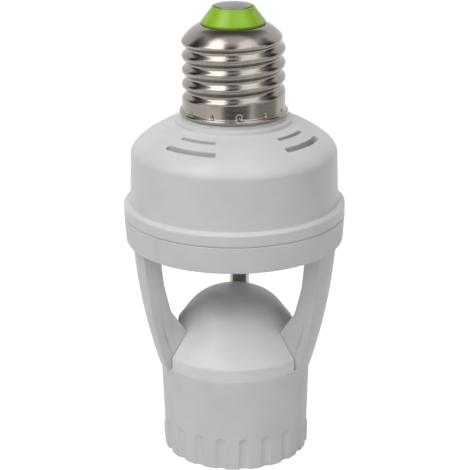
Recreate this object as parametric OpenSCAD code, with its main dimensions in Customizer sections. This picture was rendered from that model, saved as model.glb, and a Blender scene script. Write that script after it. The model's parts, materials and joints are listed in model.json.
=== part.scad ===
// Motion sensor lamp holder: it screws into a lamp socket and carries a lamp of its own.
// Origin at the centre of the sleeve's rim, +Z up to the screw cap, legs along X, front at -Y.

/* [Sleeve] */
// Height of the lamp sleeve, from its rim to the seat of the socket cap
sleeve_h = 25.2; // [22:0.1:32]
// Outer radius of the sleeve at its top
sleeve_top_r = 20.05; // [19.9:0.05:20.3]
// How much narrower the sleeve is at its rim than at its top
sleeve_draft = 0.8; // [0.4:0.05:1.2]
// Thickness of the sleeve's wall at its rim
sleeve_wall = 1.75; // [1.5:0.05:2]
// Height of the inner lip at the top of the sleeve
lip_h = 2; // [1.5:0.1:3]
// How far the inner lip stands in from the bore
lip_w = 1.5; // [1:0.1:1.5]
// Number of flutes round the rim
flute_count = 20; // [12:1:24]
// Height of the flutes
flute_h = 9.5; // [6:0.5:12]
// Radius of the flute's round section
flute_r = 1.8; // [1.4:0.1:2.4]
// Depth of the flutes
flute_depth = 0.6; // [0.3:0.05:0.8]
// Half the angle of the sunk grip panel under each leg
panel_angle = 21; // [12:1:28]
// Depth of the grip panels
panel_depth = 0.35; // [0.2:0.05:0.6]

/* [Legs] */
// Radius of the bowed outer face of a leg, seen from the side
leg_bow_r = 148; // [110:1:260]
// How far the legs stand in from the ring's edge at their top
leg_top_inset = 2.3; // [2:0.05:2.9]
// Clear height between the sleeve and the ring
window_h = 33.05; // [28:0.05:45]
// Half the angle that a leg takes up round the axis
leg_angle = 32.7; // [28:0.1:34]
// Half the angle over the webs where they enter the socket cap
web_angle = 37.5; // [36:0.1:39]
// Thickness of the leg's outer wall
leg_wall = 2; // [1.6:0.1:2.6]
// Depth of the side webs from the outer face
web_depth = 4.65; // [4:0.05:5.2]
// Thickness of the side webs
web_t = 1.8; // [1.4:0.1:2.4]
// Radius at the inner tip of the webs
web_tip_r = 15.2; // [14.8:0.1:16]
// Height of the webs' tip above the sleeve
web_tip_h = 9.6; // [8:0.1:11]
// Height above the sleeve where the webs leave the leg
web_root_h = 16.3; // [14:0.1:19]

/* [Ring] */
// Outer radius of the ring at its parting line
ring_r = 28.45; // [28:0.05:29]
// Height of the ring
ring_h = 7.05; // [6:0.05:9]
// Wall of the ring
ring_wall = 2.3; // [2:0.1:2.6]
// Height of the ledge that carries the sensor plate
ledge_h = 1.75; // [1.4:0.05:2.4]
// Width of that ledge
ledge_w = 2; // [1.5:0.1:2.2]
// Angle of the cover screws over the legs
lug_angle = 16; // [12:1:18]
// Angle of the cover screws between the legs
lug_side_angle = 118; // [114:1:120]
// How far the cover screws stand in from the ring's edge
lug_inset = 7.05; // [6.7:0.05:7.4]

/* [Top cover] */
// How far the cover's wall stands in from the bead
cover_step = 1.75; // [1.2:0.05:2.2]
// Draft of the wall from the bead up to the shoulder
cover_draft = 0.35; // [0.1:0.05:0.6]
// Height of the rounded bead at the foot of the cover
bead_h = 6.3; // [5:0.1:8]
// Height of the wall from the parting line to the shoulder
cover_wall_h = 16.1; // [14:0.1:22]
// Height of the roof from the shoulder to the neck
roof_h = 10.3; // [9:0.1:13]
// Radius of the neck under the screw cap
neck_r = 13.6; // [13.2:0.05:14.2]
// Thickness of the cover
cover_t = 1.8; // [1.4:0.1:2.2]
// Number of vent groups round the roof
vent_count = 4; // [2:1:4]
// Turn of the first vent group from the front
vent_turn = 61; // [55:1:65]
// Radius and sweep of the outer vents
vent_outer = [21.5, 36.5];
// Radius and sweep of the inner vents
vent_inner = [17.75, 30.5];
// Width of the vents
vent_w = 1.45; // [1:0.05:1.8]

/* [Socket cap] */
// How far the socket cap's collar stands in from the sleeve's top
cap_inset = 0.1; // [0:0.05:0.3]
// Height of the socket cap
cap_h = 18.2; // [17.6:0.1:20]
// Slope of the cone
cap_slope = 52.8; // [51:0.1:54]
// Radius of the rounding at the top
crown_r = 11.6; // [10:0.1:13]
// Radius of the flat spot on top
crown_flat_r = 3; // [2:0.1:4]
// Thickness of the socket cap
cap_t = 1.8; // [1.4:0.1:2]

/* [Screw cap] */
// Radius over the thread crests and of the plain skirt
thread_r = 13.05; // [13:0.01:13.1]
// Depth of the rolled thread
thread_depth = 0.95; // [0.8:0.05:1]
// Pitch of the thread, seven turns to the inch
thread_pitch = 3.629; // [3.6:0.001:3.66]
// Height of the plain skirt
skirt_h = 5.1; // [4:0.1:6]
// Height of the threaded part
male_thread_h = 13.4; // [12:0.1:15]
// Radius of the rolled edge at the foot of the skirt
roll_r = 13.62; // [13.4:0.01:13.8]
// Height of the rolled edge
roll_h = 1.4; // [1:0.1:2]
// Thickness of the sheet metal
sheet_t = 0.35; // [0.3:0.05:0.4]
// Radius of the insulator where it leaves the shell
insulator_r = 8.1; // [7.8:0.05:8.4]
// Radius of the insulator at its top
insulator_top_r = 5.1; // [4.9:0.05:5.3]
// Height of the insulator above the shell
insulator_h = 4.75; // [4:0.05:5.5]
// Radius of the centre contact
contact_r = 4.75; // [4.5:0.05:4.8]
// Height of the contact above the insulator
contact_h = 1.1; // [0.8:0.1:1.4]

/* [Lamp socket] */
// Smallest radius inside the lamp thread
lamp_thread_r = 12.3; // [12.25:0.01:12.35]
// Height of the lamp thread shell
lamp_shell_h = 16; // [14:0.5:17]
// Height of the shell's foot above the sleeve's rim
lamp_shell_z = 4; // [3:0.1:4.5]
// Height of the insert's foot above the sleeve's rim
insert_z = 2.2; // [1.5:0.1:3]
// Thickness of the insert's floor
insert_floor = 2.2; // [2:0.1:2.6]
// Radius of the throat above the lamp thread
throat_r = 9.6; // [9.5:0.1:9.8]
// Radius of the turret that stands inside the socket cap
turret_r = 13.2; // [13:0.05:13.4]

/* [Conduit] */
// Outer radius of the wire conduit
conduit_r = 2.65; // [2.4:0.05:2.8]
// Wall of the conduit
conduit_wall = 0.6; // [0.5:0.05:0.8]
// Distance of the conduit behind the axis
conduit_y = 13; // [12.9:0.1:13.4]
// Distance of the conduit to the right of the axis
conduit_x = 0.6; // [0:0.1:0.8]

/* [Sensor] */
// Radius of the lens dome
lens_r = 8.6; // [8:0.1:8.9]
// How far the lens dome hangs below the sensor plate
lens_drop = 7.6; // [6.5:0.1:8]
// Thickness of the lens
lens_t = 0.7; // [0.6:0.05:0.9]
// Thickness of the sensor plate
plate_t = 1.6; // [1.4:0.1:2]
// Height from the sensor plate to the circuit board
board_gap = 4.9; // [4.8:0.1:6]
// Thickness of the circuit board
board_t = 1.6; // [1.2:0.1:2]
// Radius of a setting knob
knob_r = 3.2; // [2.8:0.1:3.4]
// Distance of the knobs from the middle, left and right
knob_x = 9.4; // [9.2:0.1:9.8]
// Distance of the knobs in front of the axis
knob_y = 12.2; // [12:0.1:12.3]

/* [Hidden] */
$fn = 96;

seat = 0.02;            // play between parts that are pushed together
play = 0.15;            // moulding clearance round the webs and the plate
run_play = 0.05;        // running clearance of a turning shaft
gap = 0.3;              // gap beside a part that moves
over = 1;               // how far a cutter runs past the surface that it cuts
thread_fn = 36;         // points round the rolled threads
thread_steps = 9;       // rings of points in one pitch of a rolled thread

ring_z = sleeve_h + window_h;
part_z = ring_z + ring_h;
sleeve_rim_r = sleeve_top_r - sleeve_draft;
sleeve_bore_r = sleeve_rim_r - sleeve_wall;
leg_top_r = ring_r - leg_top_inset;
lug_r = ring_r - lug_inset;
cover_wall_r = ring_r - cover_step;
cap_r = sleeve_top_r - cap_inset;
plate_z = ring_z + ledge_h;
plate_top = plate_z + plate_t;
board_z = plate_top + board_gap;
board_top = board_z + board_t;
shoulder_z = part_z + cover_wall_h;
neck_z = shoulder_z + roof_h;
skirt_z = neck_z + roll_h;
thread_z = neck_z + skirt_h;
shell_top_z = thread_z + male_thread_h;
insulator_z = shell_top_z + 3.9;
contact_z = insulator_z + insulator_h;
ring_in_r = ring_r - ring_wall;
ledge_r = ring_in_r - ledge_w;
lip_r = sleeve_bore_r - lip_w;
cap_top = sleeve_h + cap_h;
tube_foot = cap_top - 12;
sheet_root = thread_r - thread_depth;
post_r = sheet_root - sheet_t - play - 0.1;
post_wall = 2.2;
post_top = shell_top_z - 3;
insert_top = sleeve_h + 2.8;
ceiling_z = insert_top - insert_floor;
shell_top = lamp_shell_z + lamp_shell_h;
lug_points = [for (side = [0, 180], turn = [lug_angle, lug_side_angle]) side + turn];
knob_shaft_r = 1.5;
screw_r = 1.25;
pilot_r = 1.1;
screw_head_r = 2.3;
screw_head_h = 1.7;
boss_r = 2.6;
lug_boss_r = 3.4;
board_r = ring_in_r - cover_t - 0.8;
board_screw_y = ring_r - 9.05;
window_y = 14.6;
insert_screw_y = throat_r - 2.4;
rivet_x = throat_r - 2.7;
shell_rivet_r = throat_r + 1.4;
lug_screw_h = 11;
board_screw_h = 7;
board_u = board_r / 23.55;  // the board against the size that its parts were first set out on
parts_h = shoulder_z + 0.7 - board_top;
live_end = board_u * [7, 15.5];
neutral_end = board_u * [-8, 13.5];
lead_rise = 9;

// Points on a circle about c, from one angle to another
function arc(c, r, a0, a1, n) = [for (i = [0:n]) let (a = a0 + (a1 - a0) * i / n) c + r * [cos(a), sin(a)]];

// Points on a cubic curve with end points a and d, drawn towards b and c
function curve(a, b, c, d, n) = [for (i = [0:n]) let (t = i / n, s = 1 - t)
    s * s * s * a + 3 * s * s * t * b + 3 * s * t * t * c + t * t * t * d];

// The bowed outer face of a leg: an arc of radius leg_bow_r through its foot and its top
leg_foot = [sleeve_top_r + 0.1, sleeve_h - 1];
leg_head = [leg_top_r, ring_z - 2.7];
leg_chord = leg_head - leg_foot;
leg_span = norm(leg_chord);
leg_mid = (leg_foot + leg_head) / 2;
leg_centre = leg_mid + [-leg_chord[1], leg_chord[0]] / leg_span * sqrt(pow(leg_bow_r, 2) - pow(leg_span / 2, 2));
function leg_r(z) = leg_centre[0] + sqrt(pow(leg_bow_r, 2) - pow(z - leg_centre[1], 2));
function leg_line(inset, z0, z1, n) = [for (i = [0:n]) let (z = z0 + (z1 - z0) * i / n) [leg_r(z) - inset, z]];

// A straight round rod from one point to another
module rod(a, b, r) {
    v = b - a;
    translate(a) rotate([0, acos(v[2] / norm(v)), atan2(v[1], v[0])]) cylinder(h = norm(v), r = r);
}

// A wire that follows a list of points, with a slightly fuller ball at each bend
module wire(path, r) {
    for (i = [0:len(path) - 2]) rod(path[i], path[i + 1], r);
    for (i = [1:len(path) - 2]) translate(path[i]) sphere(r = r * 1.04);
}

// A pan head screw, its head below z = 0 and its shank above, with a cross recess
module screw(shank_r, shank_h, head_r, head_h) {
    recess = [head_r * 1.1, 0.5, head_h * 0.5];
    difference() {
        union() {
            cylinder(h = shank_h, r = shank_r);
            rotate_extrude() polygon(concat([[0, 0], [head_r, 0]],
                arc([head_r - head_h * 0.6, -head_h * 0.4], head_h * 0.6, 0, -90, 8), [[0, -head_h]]));
        }
        for (a = [0, 90]) rotate(a) translate([0, 0, -head_h]) cube(recess, center = true);
    }
}

// Outline of a leg seen from above: webs to web_angle inside, leg_angle outside, grown by grow
module leg_plan(grow) {
    lift = grow / cos(leg_angle);
    inner = cap_r - 0.3;
    outer = cap_r + 0.95;
    far = ring_r + over;
    near = turret_r;
    side = [near * [cos(web_angle), sin(web_angle)], inner * [cos(web_angle), sin(web_angle)],
            outer * [cos(leg_angle), sin(leg_angle)], far * [cos(leg_angle), sin(leg_angle)]];
    upper = [for (p = side) p + [0, lift]];
    lower = [for (i = [len(side) - 1:-1:0]) [side[i][0], -side[i][1] - lift]];
    for (a = [0, 180]) rotate(a) polygon(concat(upper, lower));
}

// A vent: a curved slot with slightly fuller round ends, centred on an angle
module vent(size, angle) {
    slot_r = size[0];
    half = size[1] / 2;
    rotate(angle - half) rotate_extrude(angle = 2 * half) translate([slot_r - vent_w / 2, 0]) square([vent_w, roof_h + 2]);
    for (a = [-half, half]) rotate(angle + a) translate([slot_r, 0, 0]) cylinder(h = roof_h + 2, r = vent_w / 2 + 0.03);
}

// The core of a rolled round thread: rings of points, their radius a wave that climbs one pitch a turn
module rolled_thread(root_r, crest_r, h, crest_z, base_z) {
    n = thread_fn;
    rows = round(h / thread_pitch * thread_steps);
    points = [for (j = [0:rows], i = [0:n - 1])
        let (z = base_z + h * j / rows, a = 360 * i / n,
             r = (crest_r + root_r) / 2 + (crest_r - root_r) / 2 * cos(360 * (z - crest_z) / thread_pitch + 180 - a))
        [r * cos(a), r * sin(a), z]];
    sides = [for (j = [0:rows - 1], i = [0:n - 1])
        let (p = j * n + i, q = j * n + (i + 1) % n) each [[p, p + n, q + n], [p, q + n, q]]];
    polyhedron(points, concat(sides, [[for (i = [0:n - 1]) i], [for (i = [n - 1:-1:0]) rows * n + i]]));
}

module centre_contact() {
    color([0.62, 0.58, 0.62]) translate([0, 0, contact_z]) rotate_extrude()
        polygon([[0, -2], [1.4, -2], [1.4, 0], [contact_r, 0], [contact_r, contact_h * 0.6],
                 [contact_r - 0.5, contact_h * 0.85], [contact_r * 0.5, contact_h], [0, contact_h]]);
}

module cap_insulator() {
    flare = 1.2;
    foot = insulator_z - flare;
    color([0.55, 0.76, 0.12]) rotate_extrude()
        polygon([[1.45, foot - 2.4], [insulator_r + flare, foot - 2.4], [insulator_r + flare, foot - 0.4],
                 [insulator_r, foot], [insulator_r, insulator_z], [insulator_top_r, contact_z + 0.3],
                 [contact_r + 0.1, contact_z + 0.3], [contact_r + 0.1, contact_z], [1.45, contact_z]]);
}

module screw_shell() {
    bore = sheet_root - 0.2 - sheet_t;
    skirt_bore = thread_r - sheet_t;
    shoulder = curve([thread_r, shell_top_z + 0.2], [thread_r - 0.3, shell_top_z + 0.6],
                     [insulator_r + 1.9, insulator_z - 0.3], [insulator_r, insulator_z], 10);
    hollow = [for (p = shoulder) [min(p[0] - sheet_t, bore), p[1] - 1.4 * sheet_t]];
    roll = arc([roll_r - roll_h / 2, neck_z + roll_h / 2], roll_h / 2, -90, 62, 10);
    color([0.66, 0.63, 0.6]) difference() {
        union() {
            rolled_thread(sheet_root, thread_r - 0.03, male_thread_h + 0.5, thread_z + 2.25, thread_z - 0.5);
            rotate_extrude() polygon(concat([[0, neck_z]], roll, [[thread_r, skirt_z + 0.1], [thread_r, thread_z],
                [sheet_root - 0.15, thread_z], [sheet_root - 0.15, shell_top_z - 0.2], [thread_r, shell_top_z - 0.2]],
                shoulder, [[0, insulator_z]]));
        }
        rotate_extrude() polygon(concat([[0, neck_z - over], [skirt_bore, neck_z - over], [skirt_bore, thread_z - 1],
            [bore, thread_z - 0.4]], hollow, [[insulator_r, insulator_z - 1.4 * sheet_t], [insulator_r, insulator_z + over],
            [0, insulator_z + over]]));
    }
}

// Section of the cover: bead, wall, shoulder, roof and the post inside the screw cap
module cover_section() {
    shoulder_r = cover_wall_r - cover_draft;
    bead = curve([ring_r, part_z + 0.3 * bead_h], [ring_r, part_z + 0.6 * bead_h],
                 [cover_wall_r, part_z + 0.68 * bead_h], [cover_wall_r, part_z + bead_h], 12);
    knee = [neck_r + 4.05, neck_z - 3.15];
    roof = curve([shoulder_r, shoulder_z], [shoulder_r, shoulder_z + 2.4], knee + 4 * [cos(25), -sin(25)], knee, 16);
    neck = curve(knee, knee - 2.6 * [cos(25), -sin(25)], [neck_r, neck_z - 1.5], [neck_r, neck_z], 8);
    inner_r = ring_in_r - play - 1.5;
    lid = [for (i = [len(roof) - 1:-1:0]) [min(roof[i][0] - cover_t * 1.02, inner_r), roof[i][1] - cover_t]];
    polygon(concat([[ring_in_r - play, plate_top], [ring_in_r - play, part_z], [ring_r - 0.35, part_z],
                    [ring_r, part_z + 0.35]], bead, roof, neck,
                   [[post_r, neck_z], [post_r, post_top], [post_r - post_wall, post_top],
                    [post_r - post_wall, knee[1] - 0.5]], lid, [[inner_r, plate_top]]));
}

module top_cover() {
    color([0.86, 0.87, 0.86]) difference() {
        union() {
            rotate_extrude() cover_section();
            for (a = lug_points) rotate(a) translate([lug_r, 0, plate_top]) cylinder(h = shoulder_z + 2.4 - plate_top, r = lug_boss_r);
            for (s = [-1, 1]) translate([0, s * board_screw_y, board_top]) cylinder(h = shoulder_z + 4 - board_top, r = boss_r);
        }
        for (a = lug_points) rotate(a) translate([lug_r, 0, plate_top - over]) cylinder(h = lug_screw_h, r = pilot_r);
        for (s = [-1, 1]) translate([0, s * board_screw_y, board_top - over]) cylinder(h = board_screw_h + over, r = pilot_r);
        for (i = [0:vent_count - 1], v = [vent_outer, vent_inner])
            translate([0, 0, shoulder_z + 0.8]) vent(v, vent_turn - 90 + i * 360 / vent_count);
    }
}

module lower_frame() {
    ring_section = [[ledge_r, ring_z], [ring_r - 0.95, ring_z], [ring_r - 0.35, ring_z + 0.75], [ring_r, part_z],
                    [ring_in_r, part_z], [ring_in_r, plate_z], [ledge_r, plate_z]];
    sleeve_section = [[sleeve_bore_r + 0.4, 0], [sleeve_rim_r - 0.3, 0], [sleeve_rim_r, 0.3], [sleeve_top_r, sleeve_h],
                      [lip_r, sleeve_h], [lip_r, sleeve_h - lip_h], [sleeve_bore_r, sleeve_h - lip_h],
                      [sleeve_bore_r, 0.4]];
    head = [[ring_r - 0.35, ring_z + 0.7], [ring_r - 0.35, plate_z]];
    shell_section = concat(leg_line(0, leg_foot[1], leg_head[1], 24), head, [[leg_r(plate_z) - leg_wall, plate_z]],
                           leg_line(leg_wall, leg_head[1], leg_foot[1], 24));
    web_section = concat([[web_tip_r, sleeve_h]], leg_line(0, sleeve_h, leg_head[1], 24), head,
                         [[leg_r(plate_z) - web_depth, plate_z]],
                         leg_line(web_depth, leg_head[1], sleeve_h + web_root_h, 16),
                         [[web_tip_r, sleeve_h + web_tip_h]]);
    color([0.83, 0.84, 0.86]) difference() {
        union() {
            rotate_extrude() polygon(ring_section);
            rotate_extrude() polygon(sleeve_section);
            intersection() {
                rotate_extrude() polygon(shell_section);
                linear_extrude(height = part_z) leg_plan(0);
            }
            intersection() {
                rotate_extrude() polygon(web_section);
                linear_extrude(height = part_z) difference() {
                    leg_plan(0);
                    leg_plan(-web_t);
                }
            }
            for (a = lug_points) rotate(a) translate([lug_r, 0, ring_z]) cylinder(h = ledge_h, r = boss_r + 0.6);
        }
        for (a = lug_points) rotate(a) translate([lug_r, 0, ring_z - over]) cylinder(h = ledge_h + 2 * over, r = screw_r + play);
        for (i = [0:flute_count - 1]) rotate(i * 360 / flute_count + 180 / flute_count - 90) flute();
        for (a = [0, 180]) rotate(a) grip_panel();
    }
}

// A round flute up the rim, with a ball end at its top
module flute() {
    rise = (sleeve_top_r - sleeve_rim_r) / sleeve_h;
    foot = [sleeve_rim_r + flute_r - flute_depth, 0, 0];
    top = foot + (flute_h - flute_r) * [rise, 0, 1];
    rod(foot - over * [rise, 0, 1], top, flute_r);
    translate(top) sphere(r = flute_r);
}

// The shallow sunk panel in the sleeve under a leg
module grip_panel() {
    z0 = 4.6;
    z1 = sleeve_h - 1.2;
    rise = (sleeve_top_r - sleeve_rim_r) / sleeve_h;
    rotate(-panel_angle) rotate_extrude(angle = 2 * panel_angle)
        polygon([[sleeve_rim_r + z0 * rise - panel_depth, z0], [sleeve_top_r + over, z0],
                 [sleeve_top_r + over, z1], [sleeve_rim_r + z1 * rise - panel_depth, z1]]);
}

module sensor_plate() {
    color([0.85, 0.86, 0.87]) difference() {
        translate([0, 0, plate_z]) cylinder(h = plate_t, r = ring_in_r - play);
        translate([0, 0, plate_z - over]) {
            cylinder(h = plate_t + 2 * over, r = lens_r + 0.2);
            for (a = lug_points) rotate(a) translate([lug_r, 0, 0]) cylinder(h = plate_t + 2 * over, r = screw_r + play);
            for (s = [-1, 1]) translate([s * knob_x, -knob_y, 0]) cylinder(h = plate_t + 2 * over, r = knob_shaft_r + run_play);
            translate([conduit_x, conduit_y, 0]) cylinder(h = plate_t + 2 * over, r = conduit_r + run_play);
            translate([0, -window_y, 0]) cylinder(h = plate_t + 2 * over, r = 2.5);
        }
    }
}

// Section of the socket cap, shrunk by inset: collar, cone and rounded crown
module cap_section(inset) {
    lean = 90 - cap_slope;
    round_r = 1.2;
    crown_c = [crown_flat_r, cap_top - crown_r];
    crown_end = crown_c + crown_r * [cos(lean), sin(lean)];
    soft_r = cap_r - round_r + round_r * cos(lean);
    soft_z = crown_end[1] - (soft_r - crown_end[0]) * tan(cap_slope) - round_r * sin(lean);
    polygon(concat([[0, sleeve_h - (inset > 0 ? over : 0)], [cap_r - inset, sleeve_h - (inset > 0 ? over : 0)]],
                   arc([cap_r - round_r - inset, soft_z - inset * 0.5], round_r, 0, lean, 5),
                   arc(crown_c, crown_r - inset, lean, 90, 14), [[0, cap_top - inset]]));
}

module socket_cap() {
    notch_r = web_tip_r - play;
    pocket_wall = 1.4;
    color([0.87, 0.88, 0.87]) difference() {
        rotate_extrude() cap_section(0);
        difference() {
            rotate_extrude() cap_section(cap_t);
            linear_extrude(height = cap_top) difference() {
                leg_plan(play + pocket_wall);
                circle(r = notch_r - pocket_wall);
            }
            for (s = [-1, 1]) translate([0, s * insert_screw_y, insert_top]) cylinder(h = cap_h, r = boss_r);
            translate([conduit_x, conduit_y, tube_foot]) cylinder(h = cap_h, r = conduit_r + cap_t);
        }
        translate([0, 0, sleeve_h - over]) linear_extrude(height = cap_h + 2 * over) difference() {
            leg_plan(play);
            circle(r = notch_r);
        }
        for (s = [-1, 1]) translate([0, s * insert_screw_y, insert_top - over]) cylinder(h = 8, r = pilot_r);
        translate([conduit_x, conduit_y, tube_foot - over]) cylinder(h = cap_h, r = conduit_r + run_play);
    }
}

module conduit_tube() {
    length = board_z - 1 - tube_foot;
    color([0.55, 0.55, 0.56]) translate([conduit_x, conduit_y, tube_foot]) difference() {
        union() {
            cylinder(h = length, r = conduit_r);
            translate([0, 0, plate_top - tube_foot]) cylinder(h = 0.5, r = conduit_r + 0.3);
        }
        translate([0, 0, -over]) cylinder(h = length + 2 * over, r = conduit_r - conduit_wall);
    }
}

module conduit_nut() {
    nut_h = 2;
    color([0.7, 0.7, 0.7]) translate([conduit_x, conduit_y, plate_z - nut_h]) difference() {
        cylinder(h = nut_h, r = 4.3, $fn = 6);
        translate([0, 0, -over]) cylinder(h = nut_h + 2 * over, r = conduit_r + seat);
    }
}

module lens_dome() {
    flange_r = lens_r + 1.3;
    flange_t = 0.8;
    ball = (pow(lens_r, 2) + pow(lens_drop, 2)) / (2 * lens_drop);
    spread = asin(lens_r / ball);
    color([0.93, 0.94, 0.94]) rotate_extrude() polygon(concat(
        [[flange_r, plate_top], [flange_r, plate_top + flange_t], [lens_r - lens_t, plate_top + flange_t]],
        [for (p = arc([0, plate_z - lens_drop + ball], ball - lens_t, -90 + spread, -90, 16)) [max(p[0], 0), p[1]]],
        [for (p = arc([0, plate_z - lens_drop + ball], ball, -90, -90 + spread, 16)) [max(p[0], 0), p[1]]],
        [[lens_r, plate_top]]));
}

module lens_retainer() {
    foot = plate_top + 0.8;
    color([0.9, 0.9, 0.88]) translate([0, 0, foot]) difference() {
        cylinder(h = board_z - foot, r = lens_r + 1.2);
        translate([0, 0, -over]) cylinder(h = board_z - foot + 2 * over, r = lens_r - 0.6);
    }
}

module pir_detector() {
    can_r = 4.1;
    can_h = 3.9;
    color([0.72, 0.7, 0.62]) translate([0, 0, board_z]) rotate([180, 0, 0]) difference() {
        union() {
            cylinder(h = can_h, r = can_r);
            cylinder(h = 0.7, r = can_r + 0.5);
        }
        translate([-2, -1.5, can_h - 0.2]) cube([4, 3, 1]);
    }
}

module circuit_board() {
    color([0.16, 0.42, 0.2]) difference() {
        translate([0, 0, board_z]) cylinder(h = board_t, r = board_r);
        translate([0, 0, board_z - over]) {
            for (a = lug_points) rotate(a) translate([lug_r, 0, 0]) cylinder(h = board_t + 2 * over, r = lug_boss_r + 0.3);
            for (s = [-1, 1]) translate([0, s * board_screw_y, 0]) cylinder(h = board_t + 2 * over, r = pilot_r + play);
            translate([conduit_x, conduit_y, 0]) cylinder(h = board_t + 2 * over, r = conduit_r);
        }
    }
}

module relay() {
    color([0.1, 0.25, 0.6]) translate(board_u * [-16, -10, 0] + [0, 0, board_top]) cube([12 * board_u, 19 * board_u, parts_h]);
}

module film_capacitor() {
    color([0.8, 0.65, 0.15]) translate(board_u * [-2.5, -12, 0] + [0, 0, board_top])
        cube([7 * board_u, 18 * board_u, parts_h - 1.5]);
}

module electrolytic_capacitors() {
    color([0.15, 0.16, 0.2]) for (y = [-8.5, 1]) translate(board_u * [11.5, y, 0] + [0, 0, board_top]) difference() {
        cylinder(h = parts_h - 2, r = 4);
        translate([0, 0, parts_h - 2.3]) difference() {
            cylinder(h = over, r = 3.2);
            for (a = [0, 60, 120]) rotate(a) translate([-4, -0.2, -over]) cube([8, 0.4, 2 * over]);
        }
    }
}

module rectifier_diodes() {
    diode_r = 1.35;
    color([0.12, 0.12, 0.12]) for (i = [0:3]) translate(board_u * [6 + i * 3, 8.4 - i * 0.6, 0] + [0, 0, board_top + diode_r])
        rotate([-90, 0, 0]) cylinder(h = 5, r = diode_r);
}

module control_chip() {
    color([0.1, 0.1, 0.11]) translate(board_u * [11.4, 2, 0] + [0, 0, board_z - 2]) cube([5, 9, 2]);
}

module light_sensor() {
    color([0.75, 0.45, 0.3]) translate([0, -window_y, board_z]) rotate([180, 0, 0]) {
        translate([0, 0, 1.8]) cylinder(h = 2, r = 2.3);
        for (x = [-1.2, 1.2]) translate([x, 0, 0]) cylinder(h = 2, r = 0.3);
    }
}

module light_window() {
    color([0.75, 0.8, 0.85, 0.6]) translate([0, -window_y, plate_z]) {
        cylinder(h = plate_t, r = 2.5 - seat);
        translate([0, 0, plate_t]) cylinder(h = 0.6, r = 3.1);
    }
}

module trimmers() {
    trimmer_h = 3;
    color([0.2, 0.35, 0.75]) for (s = [-1, 1]) translate([s * knob_x, -knob_y, board_z - trimmer_h]) difference() {
        translate([-3, -3, 0]) cube([6, 6, trimmer_h]);
        translate([0, 0, -over]) cylinder(h = over + 1.8, r = knob_shaft_r + run_play);
    }
}

// A setting knob: slotted head below the plate, snap collar above it, shaft up into the trimmer
module knob(x) {
    head_h = 2;
    head_z = plate_z - gap - head_h;
    shaft_top = board_z - 3 + 1.5;
    translate([x, -knob_y, 0]) difference() {
        union() {
            translate([0, 0, head_z]) cylinder(h = head_h, r = knob_r);
            translate([0, 0, head_z]) cylinder(h = shaft_top - head_z, r = knob_shaft_r);
            translate([0, 0, plate_top + gap]) cylinder(h = 0.7, r = knob_shaft_r + 0.5);
        }
        translate([-knob_r - over, -0.5, head_z - over]) cube([2 * (knob_r + over), 1, over + 0.9]);
        translate([knob_r - 0.9, 0, head_z - over]) cylinder(h = over + 0.3, r = 0.35);
    }
}

module time_knob() {
    color([0.93, 0.93, 0.92]) knob(-knob_x);
}

module lux_knob() {
    color([0.93, 0.93, 0.92]) knob(knob_x);
}

module live_lead() {
    color([0.55, 0.3, 0.15]) wire([[0, 0, contact_z - 2], [0, 0, neck_z + 2], [4, 8, neck_z - 6],
                                   [live_end[0], live_end[1], board_top + lead_rise], [live_end[0], live_end[1], board_top]], 0.9);
}

module neutral_lead() {
    side = post_r - post_wall - 1.9;
    color([0.2, 0.35, 0.7]) wire([[-side, 0, post_top + 2], [-side, 0, neck_z - 5], [-side, 8.5, neck_z - 6.6],
                                  [neutral_end[0], neutral_end[1], board_top + lead_rise],
                                  [neutral_end[0], neutral_end[1], board_top]], 0.9);
}

module lamp_leads() {
    lead_r = 0.8;
    left = conduit_x - 0.95;
    right = conduit_x + 0.95;
    foot = tube_foot - 1.2;
    color([0.6, 0.25, 0.2]) {
        wire([[right, conduit_y, board_top + 1.5], [right, conduit_y, foot], [5.4, 7.6, insert_top + 2],
              [rivet_x, 0, insert_top + 1.5]], lead_r);
        wire([[left, conduit_y, board_top + 1.5], [left, conduit_y, foot], [0, shell_rivet_r, insert_top + 1.5]],
             lead_r);
    }
}

module cover_screws() {
    color([0.75, 0.75, 0.73]) for (a = lug_points) rotate(a) translate([lug_r, 0, ring_z])
        screw(pilot_r, lug_screw_h, screw_head_r, screw_head_h);
}

module board_screws() {
    color([0.75, 0.75, 0.73]) for (s = [-1, 1]) translate([0, s * board_screw_y, board_z])
        screw(pilot_r, board_screw_h, 2, 1.4);
}

module insert_screws() {
    color([0.75, 0.75, 0.73]) for (s = [-1, 1]) translate([0, s * insert_screw_y, ceiling_z])
        screw(pilot_r, 8, 2.1, 1.5);
}

module socket_insert() {
    foot_r = sleeve_bore_r - 0.1;
    step_r = lip_r - play;
    bore_r = lamp_thread_r + thread_depth + sheet_t + play;
    color([0.2, 0.2, 0.2]) difference() {
        rotate_extrude() polygon([[bore_r, insert_z], [foot_r, insert_z], [foot_r, sleeve_h - lip_h],
            [step_r, sleeve_h - lip_h], [step_r, sleeve_h - 0.1], [turret_r, sleeve_h - 0.1], [turret_r, insert_top],
            [0, insert_top], [0, ceiling_z], [throat_r, ceiling_z], [throat_r, shell_top], [bore_r, shell_top]]);
        for (s = [-1, 1]) translate([0, s * insert_screw_y, ceiling_z - over]) cylinder(h = insert_floor + 2 * over, r = pilot_r);
        for (s = [-1, 1]) translate([0, s * shell_rivet_r, shell_top - over])
            cylinder(h = insert_top - shell_top + 2 * over, r = 0.8);
        translate([rivet_x, 0, ceiling_z - over]) cylinder(h = insert_floor + 2 * over, r = 1);
    }
}

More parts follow.
